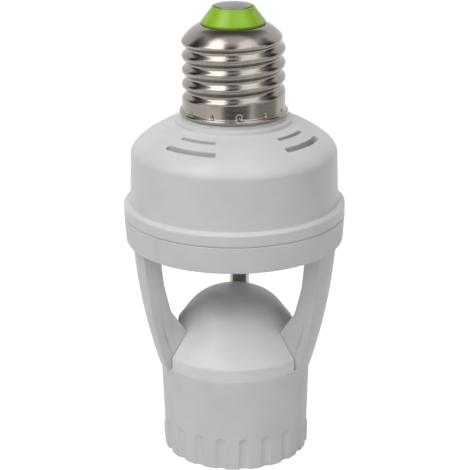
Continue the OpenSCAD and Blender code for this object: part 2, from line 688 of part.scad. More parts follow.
module socket_thread_shell() {
    top = shell_top - 0.02;
    outer = lamp_thread_r + thread_depth + sheet_t;
    color([0.78, 0.72, 0.5]) difference() {
        translate([0, 0, lamp_shell_z]) cylinder(h = top - lamp_shell_z, r = outer);
        rolled_thread(lamp_thread_r, lamp_thread_r + thread_depth, lamp_shell_h - sheet_t + over,
                      lamp_shell_z + 1.8, lamp_shell_z - over);
        translate([0, 0, top - over]) cylinder(h = 2 * over, r = throat_r);
        for (s = [-1, 1]) translate([0, s * shell_rivet_r, top - over]) cylinder(h = 2 * over, r = 0.8 + seat);
    }
}

// The centre contact: a leaf held at its root, bent down to meet the lamp
module socket_contact() {
    leaf_t = 0.4;
    leaf_w = 5;
    root = [[8.6, 0], [4.6, 0], [-2.2, -1.7], [-3.6, -1.5], [-3.7, -1.5 - leaf_t], [-2.2, -1.7 - leaf_t],
            [4.6, -leaf_t], [8.6, -leaf_t]];
    color([0.8, 0.6, 0.3]) translate([0, leaf_w / 2, ceiling_z - gap]) difference() {
        rotate([90, 0, 0]) linear_extrude(height = leaf_w) polygon(root);
        translate([rivet_x, -leaf_w / 2, -over]) cylinder(h = 2 * over, r = 1.3);
    }
}

module contact_rivet() {
    head_z = ceiling_z - 2 * gap - 1.1;
    color([0.8, 0.7, 0.45]) translate([rivet_x, 0, 0]) {
        translate([0, 0, head_z]) cylinder(h = insert_top - head_z + 0.4, r = 1);
        translate([0, 0, head_z]) cylinder(h = 0.5, r = 1.6);
        translate([0, 0, insert_top]) cylinder(h = 0.7, r = 1.6);
    }
}

module shell_rivets() {
    head_z = shell_top - sheet_t - 0.4;
    color([0.8, 0.7, 0.45]) for (s = [-1, 1]) translate([0, s * shell_rivet_r, 0]) {
        translate([0, 0, head_z]) cylinder(h = insert_top - head_z + 0.2, r = 0.8);
        translate([0, 0, head_z]) cylinder(h = 0.4, r = 1.15);
        translate([0, 0, insert_top]) cylinder(h = 0.7, r = 1.15);
    }
}

centre_contact();
cap_insulator();
screw_shell();
top_cover();
lower_frame();
sensor_plate();
socket_cap();
conduit_tube();
conduit_nut();
lens_dome();
lens_retainer();
pir_detector();
circuit_board();
relay();
film_capacitor();
electrolytic_capacitors();
rectifier_diodes();
control_chip();
light_sensor();
light_window();
trimmers();
time_knob();
lux_knob();
live_lead();
neutral_lead();
lamp_leads();
cover_screws();
board_screws();
insert_screws();
socket_insert();
socket_thread_shell();
socket_contact();
contact_rivet();
shell_rivets();
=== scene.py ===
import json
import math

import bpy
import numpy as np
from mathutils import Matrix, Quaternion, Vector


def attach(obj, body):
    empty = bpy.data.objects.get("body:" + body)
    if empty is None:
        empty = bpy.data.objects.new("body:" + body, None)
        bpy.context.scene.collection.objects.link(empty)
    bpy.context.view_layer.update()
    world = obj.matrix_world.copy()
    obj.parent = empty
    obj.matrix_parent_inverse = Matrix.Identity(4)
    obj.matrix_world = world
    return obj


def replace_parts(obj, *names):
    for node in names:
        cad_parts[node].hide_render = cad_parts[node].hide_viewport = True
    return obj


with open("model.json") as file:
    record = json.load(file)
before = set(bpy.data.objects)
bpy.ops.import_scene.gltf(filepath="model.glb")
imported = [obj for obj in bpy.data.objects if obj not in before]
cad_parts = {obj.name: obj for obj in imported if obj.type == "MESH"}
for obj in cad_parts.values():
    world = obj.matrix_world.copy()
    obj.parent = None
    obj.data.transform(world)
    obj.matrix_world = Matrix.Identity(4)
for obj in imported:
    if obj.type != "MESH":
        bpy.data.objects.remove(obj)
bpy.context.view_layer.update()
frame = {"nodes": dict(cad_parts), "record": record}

# %% [markdown]
# A lamp holder that screws into a ceiling socket. The white body is moulded plastic in two main parts, a
# round sensor head and a yoke that ends in a fluted sleeve for the lamp. On top sits a screw cap rolled from
# nickelled sheet metal. The solids come from CAD, in metres, with the sleeve's rim on the floor and the screw
# cap up. This file gives them their finishes, and builds anew those pieces whose shape needs a finer surface
# than the solids carry. Each cell makes one of them, and prints what it made.

MM = 0.001
nodes = frame["nodes"]

# %% [markdown]
# The photograph was taken with a long lens from about twenty degrees above the horizon. The holder is turned
# a little on its axis, so its front looks past the camera's left side. Turning the camera round the holder by
# the same angle gives the same picture, and leaves the model where CAD put it.

# %% The camera
EYE = Vector((19.2, -386.3, 197.6)) * MM
AIM = Vector((0, 0, 58.39)) * MM
LEAN = math.radians(-0.356)
FOCAL_PIXELS, PICTURE_PIXELS, SHIFT_PIXELS, SENSOR = 1579.4, 470, 0.4, 36.0

camera_data = bpy.data.cameras.new("camera")
camera = bpy.data.objects.new("camera", camera_data)
bpy.context.scene.collection.objects.link(camera)
bpy.context.scene.camera = camera
camera.location = EYE
camera.rotation_mode = "QUATERNION"
camera.rotation_quaternion = (AIM - EYE).to_track_quat("-Z", "Y") @ Quaternion((0, 0, 1), LEAN)
camera_data.sensor_width = SENSOR
camera_data.lens = FOCAL_PIXELS / PICTURE_PIXELS * SENSOR
camera_data.shift_x = SHIFT_PIXELS / PICTURE_PIXELS
camera_data.clip_start, camera_data.clip_end = 0.01, 20
print("lens in mm:", round(camera_data.lens, 1))

# %% [markdown]
# A pale plastic object needs light that is soft and not too strong, or its edges are lost in white. Two
# softboxes stand left and right in front of it, high up, and the screw cap shows them as a pair of bright
# bands on each turn of its thread. Two weaker ones, overhead and in front, light the plastic only. The sky
# looks white to the camera and in mirrors, and adds just a little light of its own.

# %% Softboxes and the world
SKY_LIGHT = 0.12


def direction(azimuth, elevation):
    """Unit vector away from the holder: azimuth right of the camera and elevation, both in degrees."""
    eye_azimuth = math.degrees(math.atan2(EYE.x, -EYE.y))
    a, e = math.radians(azimuth + eye_azimuth), math.radians(elevation)
    return Vector((math.sin(a) * math.cos(e), -math.cos(a) * math.cos(e), math.sin(e)))


def softbox(name, azimuth, elevation, distance, width, height, watts):
    """A rectangular lamp at that direction and distance, turned to the holder's middle."""
    lamp = bpy.data.lights.new(name, "AREA")
    lamp.shape = "RECTANGLE"
    lamp.size, lamp.size_y, lamp.energy = width, height, watts
    stand = bpy.data.objects.new(name, lamp)
    bpy.context.scene.collection.objects.link(stand)
    out = direction(azimuth, elevation)
    stand.location = AIM + out * distance
    stand.rotation_mode = "QUATERNION"
    stand.rotation_quaternion = (-out).to_track_quat("-Z", "Y")
    return stand


softbox("softbox_left", -54, 56, 1.2, 0.8, 0.75, 5.0)
softbox("softbox_right", 43, 56, 1.2, 0.85, 0.75, 2.1)
softbox("softbox_overhead", 0, 88, 1.3, 1.2, 1.2, 2.8).visible_glossy = False
softbox("softbox_front", -12, 44, 1.25, 0.8, 0.5, 3.4).visible_glossy = False

world = bpy.data.worlds.new("studio")
bpy.context.scene.world = world
world.use_nodes = True
bpy.context.scene.view_settings.view_transform = "Standard"


def seen_directly(tree):
    """1 for camera, mirror and see-through rays, and 0 for the rays that only carry light."""
    path = tree.nodes.new("ShaderNodeLightPath")
    total = path.outputs["Is Camera Ray"]
    for ray in ("Is Glossy Ray", "Is Transmission Ray"):
        add = tree.nodes.new("ShaderNodeMath")
        add.operation = "ADD"
        add.use_clamp = True
        tree.links.new(total, add.inputs[0])
        tree.links.new(path.outputs[ray], add.inputs[1])
        total = add.outputs[0]
    return total


tree = world.node_tree
tree.nodes.clear()
sky, shown = tree.nodes.new("ShaderNodeBackground"), tree.nodes.new("ShaderNodeBackground")
mix, out = tree.nodes.new("ShaderNodeMixShader"), tree.nodes.new("ShaderNodeOutputWorld")
sky.inputs["Color"].default_value = (1, 1, 1, 1)
sky.inputs["Strength"].default_value = SKY_LIGHT
shown.inputs["Color"].default_value = (1, 1, 1, 1)
shown.inputs["Strength"].default_value = 1.0
tree.links.new(seen_directly(tree), mix.inputs["Fac"])
tree.links.new(sky.outputs[0], mix.inputs[1])
tree.links.new(shown.outputs[0], mix.inputs[2])
tree.links.new(mix.outputs[0], out.inputs["Surface"])

# %% [markdown]
# The floor is a plain white sheet. To the camera it glows faintly, so that it meets the white background with
# no line, and it still takes a little of the holder's shadow. The light that it throws back up on the holder
# is that of an ordinary pale floor.

# %% Meshes and the floor
FLOOR_HALF, FLOOR_Z = 4.0, -2e-5
FLOOR_BOUNCE, FLOOR_SHADE, FLOOR_GLOW = (0.74, 0.74, 0.74, 1), (0.3, 0.3, 0.3, 1), 0.9
SQUARE = [(-1, -1), (1, -1), (1, 1), (-1, 1)]


def mesh_object(name, points, faces, smooth=True, crease=None):
    """A new object at the origin whose mesh has these points, in metres, and these faces. With a crease, the
    edges that turn by more degrees than that stay sharp."""
    mesh = bpy.data.meshes.new(name)
    mesh.from_pydata(np.asarray(points, float).reshape(-1, 3).tolist(), [], faces)
    mesh.update()
    mesh.polygons.foreach_set("use_smooth", np.full(len(mesh.polygons), smooth))
    if crease is not None:
        mesh.set_sharp_from_angle(angle=math.radians(crease))
    made = bpy.data.objects.new(name, mesh)
    bpy.context.scene.collection.objects.link(made)
    return made


def plain_material(name):
    """An empty node material, with its tree and its output."""
    made = bpy.data.materials.new(name)
    made.use_nodes = True
    made.node_tree.nodes.clear()
    return made, made.node_tree, made.node_tree.nodes.new("ShaderNodeOutputMaterial")


sheet_material, tree, out = plain_material("floor_sheet")
bounce, faint = tree.nodes.new("ShaderNodeBsdfDiffuse"), tree.nodes.new("ShaderNodeBsdfDiffuse")
glow, both = tree.nodes.new("ShaderNodeEmission"), tree.nodes.new("ShaderNodeAddShader")
mix = tree.nodes.new("ShaderNodeMixShader")
bounce.inputs["Color"].default_value = FLOOR_BOUNCE
faint.inputs["Color"].default_value = FLOOR_SHADE
glow.inputs["Strength"].default_value = FLOOR_GLOW
tree.links.new(glow.outputs[0], both.inputs[0])
tree.links.new(faint.outputs[0], both.inputs[1])
tree.links.new(seen_directly(tree), mix.inputs["Fac"])
tree.links.new(bounce.outputs[0], mix.inputs[1])
tree.links.new(both.outputs[0], mix.inputs[2])
tree.links.new(mix.outputs[0], out.inputs["Surface"])

corners = [(x * FLOOR_HALF, y * FLOOR_HALF, FLOOR_Z) for x, y in SQUARE]
floor = mesh_object("floor", corners, [(0, 1, 2, 3)], smooth=False)
floor.data.materials.append(sheet_material)
print("the floor is", 2 * FLOOR_HALF, "m wide")

# %% [markdown]
# Between its bright bands a metal cap is dark, because a photographer puts dark boards round it. There are
# tall ones left, right and in front, one above, and two low ones close by that darken the plain skirt. Only
# mirror-like rays see the boards, and they take no light from the plastic.

# %% The boards
BOARD_FADE = 4


def dark_board(name, azimuth, elevation, distance, width, height, level):
    """A board at that direction from the holder, which only mirror-like rays see. Its middle has that level
    of white, and it fades to white at its edges: level + (1 - level) x max(|u|, |v|)^4, with u and v from
    -1 to 1."""
    out = direction(azimuth, elevation)
    across = out.cross(Vector((0, 0, 1))).normalized() * width / 2
    up = across.cross(out).normalized() * height / 2
    middle = AIM + out * distance
    corners = [middle + across * u + up * v for u, v in SQUARE]
    made = mesh_object(name, corners, [(0, 1, 2, 3)], smooth=False)
    made.data.uv_layers.new(name="spread").data.foreach_set("uv", np.array(SQUARE, float).ravel())
    material, tree, target = plain_material(name)
    spread, parts, grey = (tree.nodes.new("ShaderNode" + k) for k in ("UVMap", "SeparateXYZ", "Emission"))
    spread.uv_map = "spread"
    tree.links.new(spread.outputs["UV"], parts.inputs[0])
    largest, power, fade = (tree.nodes.new("ShaderNodeMath") for _ in range(3))
    largest.operation, power.operation, fade.operation = "MAXIMUM", "POWER", "MULTIPLY_ADD"
    for axis in (0, 1):
        size = tree.nodes.new("ShaderNodeMath")
        size.operation = "ABSOLUTE"
        tree.links.new(parts.outputs[axis], size.inputs[0])
        tree.links.new(size.outputs[0], largest.inputs[axis])
    power.inputs[1].default_value = BOARD_FADE
    fade.inputs[1].default_value, fade.inputs[2].default_value = 1 - level, level
    tree.links.new(largest.outputs[0], power.inputs[0])
    tree.links.new(power.outputs[0], fade.inputs[0])
    tree.links.new(fade.outputs[0], grey.inputs["Strength"])
    tree.links.new(grey.outputs[0], target.inputs["Surface"])
    made.data.materials.append(material)
    made.visible_camera = made.visible_diffuse = made.visible_shadow = made.visible_transmission = False


dark_board("board_left", -103, 22, 1.0, 0.65, 1.4, 0.02)
dark_board("board_right", 95, 22, 1.0, 0.65, 1.4, 0.02)
dark_board("board_front", -7, 48, 1.1, 0.5, 1.0, 0.05)
dark_board("board_above", 0, 112, 0.97, 1.4, 0.85, 0.12)
dark_board("board_low", 5, -8, 0.21, 0.27, 0.065, 0.04)
dark_board("board_low_right", 76, -8, 0.21, 0.28, 0.065, 0.38)

# %% [markdown]
# Moulded plastic isn't one flat colour. Its gloss comes and goes where the mould was polished or worn, and a
# fine grain breaks up its reflections. Three noise patterns at different scales, all read in the part's own
# coordinates, give the colour, the gloss and the relief. A bevel node rounds the sharp edges of the solids to
# the eye, as a mould does.

# %% Moulded plastic
def noise(tree, scale, detail=3.0, stretch=(1, 1, 1)):
    """Noise in the part's own coordinates: scale is bumps per metre, and stretch shortens them one way."""
    place, turn = tree.nodes.new("ShaderNodeTexCoord"), tree.nodes.new("ShaderNodeMapping")
    made = tree.nodes.new("ShaderNodeTexNoise")
    turn.inputs["Scale"].default_value = stretch
    made.inputs["Scale"].default_value = scale
    made.inputs["Detail"].default_value = detail
    tree.links.new(place.outputs["Object"], turn.inputs["Vector"])
    tree.links.new(turn.outputs["Vector"], made.inputs["Vector"])
    return made.outputs["Fac"]


def between(tree, value, low, high):
    """The value, from 0.3 to 0.7, spread from low to high."""
    made = tree.nodes.new("ShaderNodeMapRange")
    for socket, number in (("From Min", 0.3), ("From Max", 0.7), ("To Min", low), ("To Max", high)):
        made.inputs[socket].default_value = number
    tree.links.new(value, made.inputs["Value"])
    return made.outputs["Result"]


def tinted(tree, value, low, high):
    """A colour that goes from low to high as the value goes from 0 to 1."""
    made = tree.nodes.new("ShaderNodeMix")
    made.data_type = "RGBA"
    made.inputs["A"].default_value, made.inputs["B"].default_value = (*low, 1), (*high, 1)
    tree.links.new(value, made.inputs["Factor"])
    return made.outputs["Result"]


def relief(tree, height, strength, depth, edge):
    """A normal that follows the height pattern, over one that rounds edges by the radius edge."""
    made = tree.nodes.new("ShaderNodeBump")
    made.inputs["Strength"].default_value = strength
    made.inputs["Distance"].default_value = depth
    tree.links.new(height, made.inputs["Height"])
    soft = tree.nodes.new("ShaderNodeBevel")
    soft.samples = 4
    soft.inputs["Radius"].default_value = edge
    tree.links.new(soft.outputs["Normal"], made.inputs["Normal"])
    return made.outputs["Normal"]


def shaded(name):
    """A material with one principled shader, and the tree and the shader."""
    made, tree, out = plain_material(name)
    skin = tree.nodes.new("ShaderNodeBsdfPrincipled")
    tree.links.new(skin.outputs[0], out.inputs["Surface"])
    return made, tree, skin


def moulded_plastic(name, colour, gloss=0.42, grain=0.5, edge=0.00025, variety=0.035):
    """Plastic of that colour, give or take its variety: gloss is the mean roughness, grain the strength of
    the relief and edge the radius of its edges."""
    made, tree, skin = shaded(name)
    low = tuple(c * (1 - variety) for c in colour)
    high = tuple(min(1, c * (1 + variety)) for c in colour)
    tint = tinted(tree, between(tree, noise(tree, 120), 0, 1), low, high)
    tree.links.new(tint, skin.inputs["Base Color"])
    tree.links.new(between(tree, noise(tree, 900), gloss - 0.05, gloss + 0.06), skin.inputs["Roughness"])
    tree.links.new(relief(tree, noise(tree, 5200, 4), grain, 0.00002, edge), skin.inputs["Normal"])
    return made


FINISH = {
    "cover_plastic": moulded_plastic("cover_plastic", (0.73, 0.745, 0.735), gloss=0.33),
    "frame_plastic": moulded_plastic("frame_plastic", (0.72, 0.735, 0.75), gloss=0.44),
    "cap_plastic": moulded_plastic("cap_plastic", (0.83, 0.845, 0.855), gloss=0.36),
    "white_plastic": moulded_plastic("white_plastic", (0.8, 0.8, 0.78), gloss=0.5, edge=0.00015),
    "insulator_green": moulded_plastic("insulator_green", (0.30, 0.55, 0.008), 0.3, grain=0.9, variety=0.08),
    "relay_blue": moulded_plastic("relay_blue", (0.02, 0.09, 0.42), gloss=0.35, edge=0.0004),
    "film_yellow": moulded_plastic("film_yellow", (0.7, 0.42, 0.03), gloss=0.3, edge=0.0006),
    "sleeve_black": moulded_plastic("sleeve_black", (0.03, 0.032, 0.04), gloss=0.3),
    "chip_black": moulded_plastic("chip_black", (0.02, 0.02, 0.02), gloss=0.6),
    "phenolic": moulded_plastic("phenolic", (0.045, 0.042, 0.04), gloss=0.34, grain=0.8),
    "wire_brown": moulded_plastic("wire_brown", (0.2, 0.08, 0.03), gloss=0.35),
    "wire_blue": moulded_plastic("wire_blue", (0.03, 0.1, 0.5), gloss=0.35),
    "wire_red": moulded_plastic("wire_red", (0.5, 0.05, 0.03), gloss=0.35),
    "sensor_disc": moulded_plastic("sensor_disc", (0.5, 0.22, 0.1), gloss=0.4),
    "board_green": moulded_plastic("board_green", (0.03, 0.16, 0.05), 0.32, grain=0.3, variety=0.2),
}
print("plastics:", sorted(FINISH))

# %% [markdown]
# The metals are thin nickelled or plain sheet. Pressing and rolling leave fine scratches along the way the
# metal ran, and handling dulls it in patches. Stretched noise gives the first and wide noise the second.

# %% Metals, lens and window
BRUSH, METAL_EDGE = 0.25, 0.00015


def sheet_metal(name, colour, gloss=0.22, tarnish=0.12, stretch=(1, 1, 30)):
    """Metal of that colour: tarnish is how far patches darken it, and stretch gives the run of scratches."""
    made, tree, skin = shaded(name)
    skin.inputs["Metallic"].default_value = 1.0
    dark = tuple(c * (1 - tarnish) for c in colour)
    tint = tinted(tree, between(tree, noise(tree, 260, 5), 0, 1), dark, colour)
    tree.links.new(tint, skin.inputs["Base Color"])
    shine = between(tree, noise(tree, 500, 5, stretch), gloss - 0.05, gloss + 0.08)
    tree.links.new(shine, skin.inputs["Roughness"])
    scratches = relief(tree, noise(tree, 1800, 4, stretch), BRUSH, 0.00001, METAL_EDGE)
    tree.links.new(scratches, skin.inputs["Normal"])
    return made


def clear_plastic(name, colour, gloss, seen_through):
    """See-through plastic: seen_through is the share of light that passes."""
    made, tree, skin = shaded(name)
    tint = tinted(tree, noise(tree, 300), colour, tuple(min(1, c * 1.04) for c in colour))
    tree.links.new(tint, skin.inputs["Base Color"])
    tree.links.new(between(tree, noise(tree, 800), gloss - 0.04, gloss + 0.04), skin.inputs["Roughness"])
    skin.inputs["Transmission Weight"].default_value = seen_through
    skin.inputs["IOR"].default_value = 1.49
    return made


FINISH |= {
    "nickel": sheet_metal("nickel", (0.345, 0.315, 0.285), gloss=0.17, tarnish=0.18),
    "contact_metal": sheet_metal("contact_metal", (0.37, 0.345, 0.35), gloss=0.38, stretch=(1, 1, 1)),
    "conduit_steel": sheet_metal("conduit_steel", (0.46, 0.44, 0.41), gloss=0.2, stretch=(60, 60, 1)),
    "detector_can": sheet_metal("detector_can", (0.62, 0.58, 0.46), gloss=0.3),
    "screw_steel": sheet_metal("screw_steel", (0.5, 0.5, 0.49), gloss=0.28, stretch=(1, 1, 8)),
    "socket_brass": sheet_metal("socket_brass", (0.62, 0.5, 0.24), gloss=0.24),
    "spring_bronze": sheet_metal("spring_bronze", (0.6, 0.38, 0.17), gloss=0.26, stretch=(20, 1, 1)),
    "lens_plastic": clear_plastic("lens_plastic", (0.9, 0.91, 0.91), gloss=0.34, seen_through=0.35),
    "clear_plastic": clear_plastic("clear_plastic", (0.85, 0.88, 0.9), gloss=0.12, seen_through=0.8),
}
print("finishes in all:", len(FINISH))

# %% [markdown]
# The record names a material slot for each CAD part. Each part gets the finish of its slot.

# %% Each CAD part gets its finish
slot_of = {p["node"]: p["material_slot"] for p in frame["record"]["subparts"]}
for name, part in nodes.items():
    slot = slot_of.get(name)
    if slot in FINISH:
        part.data.materials.clear()
        part.data.materials.append(FINISH[slot])
print("parts without a finish:", [n for n in nodes if slot_of.get(n) not in FINISH])

# %% [markdown]
# Most small pieces here are turned: one outline swept round the axis. A table of points does it. Its rows
# are the outline's points and its columns the steps round the axis, so one line of arithmetic places every
# point, and each face joins two neighbours of one row to two of the next.

# %% Outlines and surfaces of revolution
def bend(a, b, c, d, steps=12):
    """Points on a cubic curve from a to d, pulled towards b and c: s^3 a + 3 s^2 t b + 3 s t^2 c + t^3 d,
    with s = 1 - t."""
    t = np.linspace(0, 1, steps + 1)[:, None]
    a, b, c, d = (np.asarray(q, float) for q in (a, b, c, d))
    return (1 - t) ** 3 * a + 3 * (1 - t) ** 2 * t * b + 3 * (1 - t) * t**2 * c + t**3 * d


def round_corner(centre, radius, start, end, steps=8):
    """Points on an arc about a centre, from one angle to another in degrees."""
    a = np.radians(np.linspace(start, end, steps + 1))
    return np.asarray(centre, float) + radius * np.stack([np.cos(a), np.sin(a)], 1)


def straight(a, b, steps):
    """Evenly spaced points from a to b, without the last one."""
    a, b = np.asarray(a, float), np.asarray(b, float)
    return a + np.linspace(0, 1, steps, endpoint=False)[:, None] * (b - a)


def table_faces(rows, columns, closed):
    """Faces of a table of points whose last column meets its first, and whose last row meets its first if
    it is closed."""
    r, c = np.meshgrid(np.arange(rows if closed else rows - 1), np.arange(columns), indexing="ij")
    up, on = (r + 1) % rows, (c + 1) % columns
    corners = [r * columns + c, r * columns + on, up * columns + on, up * columns + c]
    return np.stack(corners, -1).reshape(-1, 4)


def turned(outline, columns, shift=None, closed=True, start=0.0, place=(0, 0)):
    """Points, in mm, and faces of an outline of (radius, height) swept round an upright axis at that place,
    from the angle start. shift(angle, radius, height) may return how far each point moves outwards. The
    outline runs anticlockwise, so the faces point outwards."""
    outline = np.asarray(outline, float)
    angle = start + np.linspace(0, 2 * np.pi, columns, endpoint=False)[None, :]
    radius, height = (np.repeat(outline[:, k : k + 1], columns, axis=1) for k in (0, 1))
    if shift is not None:
        radius = np.maximum(radius + shift(angle + 0 * radius, radius, height), 0)
    points = [place[0] + radius * np.cos(angle), place[1] + radius * np.sin(angle), height]
    return np.stack(points, -1).reshape(-1, 3), table_faces(len(outline), columns, closed).tolist()


def turned_piece(name, outline, slot, columns, **how):
    """An object of that finish, turned from an outline."""
    points, faces = turned(outline, columns, **how)
    made = mesh_object(name, points * MM, faces)
    made.data.materials.append(FINISH[slot])
    print(name, "has", 2 * len(faces), "triangles")
    return made


def ease(x):
    """0 below 0, 1 above 1, and 3 x^2 - 2 x^3 between."""
    x = np.clip(x, 0, 1)
    return x * x * (3 - 2 * x)


# %% [markdown]
# The screw cap is rolled from one sheet of nickelled brass or steel. Its thread is not cut: two wheels
# squeeze the wall into a wave that climbs 3.629 mm a turn, seven turns to the inch. The wave starts and ends
# gently, where the wheels were let in and out. The skirt below it ends in a rolled edge, and a ring of punch
# marks just above that edge stakes the cap to the plastic. Here the wave is a function of the height and the
# angle.

# %% The screw cap
PITCH, THREAD_R, THREAD_DEPTH, FIRST_CREST = 3.629, 13.05, 0.97, 99.05
NECK_Z, ROLL_TOP, THREAD_FOOT, SHOULDER_Z, SHELL_TOP = 91.4, 92.8, 94.6, 110.2, 114.35
OUTER_SKIN_R, ROOT_POWER, GROOVE_TURNS, WHEELS_IN = 12.0, 2.4, 4, math.radians(100)
STAKE_STEP, STAKE_TURN, STAKE_Z = math.radians(30), math.radians(-81.2), 93.3
BIG_STAKE, SMALL_STAKE = (0.62, 0.5, 0.62), (0.34, 0.34, 0.5)


def rolled_wave(angle, height):
    """How deep the thread is there, from 0 to 1. With t = (height - crest) / pitch - (angle - pi) / 2 pi the
    crests are the whole values of t, and the depth is |sin(pi t)| to the power 2.4: wide crests, narrower
    roots. It fades in and out over a radian at the ends of the groove."""
    t = (height - FIRST_CREST) / PITCH - (angle - np.pi) / (2 * np.pi)
    run = angle + 2 * np.pi * np.floor(t + 1) - WHEELS_IN
    ends = ease(run) * (1 - ease(run - 2 * np.pi * GROOVE_TURNS + WHEELS_IN))
    return np.abs(np.sin(np.pi * t)) ** ROOT_POWER * ends


def stake_marks(angle, height):
    """Punch marks: every thirtieth degree a dent, and the one at STAKE_TURN bigger. A dent is
    depth x exp(-(arc / width)^2 - ((height - middle) / length)^2)."""
    turn = (angle - STAKE_TURN + STAKE_STEP / 2) % STAKE_STEP - STAKE_STEP / 2
    big = np.abs((angle - STAKE_TURN + np.pi) % (2 * np.pi) - np.pi) < STAKE_STEP / 2
    width, depth, length = (np.where(big, *sizes) for sizes in zip(BIG_STAKE, SMALL_STAKE))
    return depth * np.exp(-((turn * THREAD_R / width) ** 2) - ((height - STAKE_Z) / length) ** 2)


def shell_shift(angle, radius, height):
    """Thread and punch marks move the outer skin only."""
    skin = (radius > OUTER_SKIN_R) & (height > ROLL_TOP - 0.9) & (height < SHELL_TOP)
    thread = THREAD_DEPTH * rolled_wave(angle, height) * (height >= THREAD_FOOT)
    return -np.where(skin, thread + stake_marks(angle, height), 0)


roll = round_corner((13.1, 92.1), 0.7, -90, 62, 12)
skirt = straight((THREAD_R, ROLL_TOP + 0.1), (THREAD_R, THREAD_FOOT), 14)
threaded = straight((THREAD_R, THREAD_FOOT), (THREAD_R, SHOULDER_Z), 124)
shoulder_pull = (THREAD_R - 0.25, SHOULDER_Z + 0.75)
shoulder = bend((THREAD_R, SHOULDER_Z), shoulder_pull, (10.1, 114.1), (8.1, SHELL_TOP), 18)
inside = [(7.9, 113.95), (9.6, 113.1), (11.3, 111.2), (11.5, 108), (11.5, 96.6), (12.7, 95.9),
          (12.7, NECK_Z + 0.02)]
cap_outline = np.vstack([roll, skirt, threaded, shoulder, inside])
screw_cap = turned_piece("screw_cap_shell", cap_outline, "nickel", 400, shift=shell_shift, start=WHEELS_IN)
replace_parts(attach(screw_cap, "holder"), "screw_shell")

# %% [markdown]
# A cone of green plastic insulates the tip of the cap, and the live contact sits in it as a slightly domed
# disc. The cone's rim is pressed over the disc's edge and leaves a thin dark gap.

# %% The green insulator and the centre contact
cone = np.vstack([
    [(6.9, 112.8), (8.05, 112.8)],
    round_corner((7.83, 114.8), 0.26, -30, 34, 5),
    bend((8.0, 115.0), (7.3, 116.0), (6.2, 117.3), (5.5, 118.35), 14),
    round_corner((5.18, 118.41), 0.3, 25, 140, 6),
    [(4.93, 118.25), (4.93, 117.95), (4.2, 117.85), (4.2, 113.2)],
])
green_cone = turned_piece("insulator_cone", cone, "insulator_green", 160)
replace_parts(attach(green_cone, "holder"), "cap_insulator")

disc = np.vstack([
    [(0.0, 117.9), (4.4, 117.9), (4.74, 118.15)],
    round_corner((4.5, 118.72), 0.24, 0, 75, 5),
    bend((4.4, 118.96), (3.6, 119.17), (1.8, 119.38), (0.0, 119.4), 14),
])
contact = turned_piece("contact_disc", disc, "contact_metal", 128, closed=False)
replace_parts(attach(contact, "holder"), "centre_contact")

# %% [markdown]
# The head is one bowl of plastic. From the parting line up it has a bead with a flat ledge, a wall with a
# little draft, a rounded shoulder, a roof, and a stepped collar that disappears under the cap's rolled edge.
# Eight curved vents go right through the roof, in four pairs. The cover is a table of points again, and two
# rows of the roof part round each vent, so the vent's edge is made of the table's own points.

# %% The head cover
PARTING_Z, WALL_Z, ROOF_THICK, CAVITY_R = 65.13, 81.38, 1.8, 24.5
COVER_COLUMNS, COVER_CREASE, LEAST_HALF = 720, 40, 0.08
# Radius, sweep in degrees, width, and where each vent of the kind is, in degrees
VENTS = {"outer": (21.5, 35.2, 1.3, (-32, -118, 148, 62)), "inner": (18.0, 28.4, 0.95, (-35, -117, 145, 63))}


def vent_opening(angle, radius, sweep, width, turns):
    """Half the width of the vents at that angle, and whether there is a vent: width / 2 x sqrt(1 - e^2) with
    e = how far the point is into the round end, in shares of width / 2. It never is under 0.08, so that two
    rows of points don't meet."""
    off = [np.abs((angle - math.radians(t) + np.pi) % (2 * np.pi) - np.pi) for t in turns]
    off = np.min(off, axis=0) * radius
    reach = math.radians(sweep) / 2 * radius
    into = np.clip((off - reach) / (width / 2), 0, 1)
    return np.maximum(width / 2 * np.sqrt(1 - into**2), LEAST_HALF), off < reach + width / 2


def even(outline):
    """The same outline at every column, as two tables of radius and height."""
    outline = np.asarray(outline, float)
    return [np.repeat(outline[:, k : k + 1], COVER_COLUMNS, axis=1) for k in (0, 1)]


bead = np.vstack([
    [(28.15, PARTING_Z), (28.45, PARTING_Z + 0.3)],
    straight((28.45, 65.7), (28.45, 67.8), 5),
    round_corner((27.99, 67.85), 0.46, 0, 78, 8),
    round_corner((27.1, 68.78), 0.36, 270, 180, 6),
])
wall = straight((26.73, 69.3), (26.36, WALL_Z - 0.3), 10)
roof = bend((26.35, WALL_Z), (26.35, WALL_Z + 2.4), (21.275, 86.86), (17.65, 88.55), 40)
collar = [(15.1, 89.3), (14.94, 89.36), (14.88, 89.5), (14.86, 90.15), (14.8, 90.28), (14.66, 90.36),
          (13.5, 90.4), (13.34, 90.46), (13.3, 90.6), (13.3, 91.38)]
neck = [(11.5, 91.38), (11.5, 107.2), (9.3, 107.2), (9.3, 88.05), (15.4, 87.7)]
cavity = [(CAVITY_R, 79.5), (CAVITY_R, 61.7), (26.0, 61.7), (26.0, PARTING_Z)]

turn = np.linspace(-np.pi, np.pi, COVER_COLUMNS, endpoint=False)[None, :]
openings = {which: (vent[0], *vent_opening(turn[0], *vent)) for which, vent in VENTS.items()}
rows = [r for r in roof[:, 0] if r > 22.6]
rows += [22.45, "outer+", "outer-", 20.4, 19.8, 19.2, 18.8, "inner+", "inner-", 17.0, 16.4]
roof_r, vent_rows = [], {}
for row in rows:
    if isinstance(row, str):
        middle, half, _ = openings[row[:-1]]
        vent_rows[row] = len(roof_r)
        roof_r.append(middle + half * (1 if row[-1] == "+" else -1))
    else:
        roof_r.append(np.full(COVER_COLUMNS, row))
roof_r = np.array(roof_r)
roof_line = np.vstack([roof, collar[:1]])[::-1]
roof_z = np.interp(roof_r, roof_line[:, 0], roof_line[:, 1])

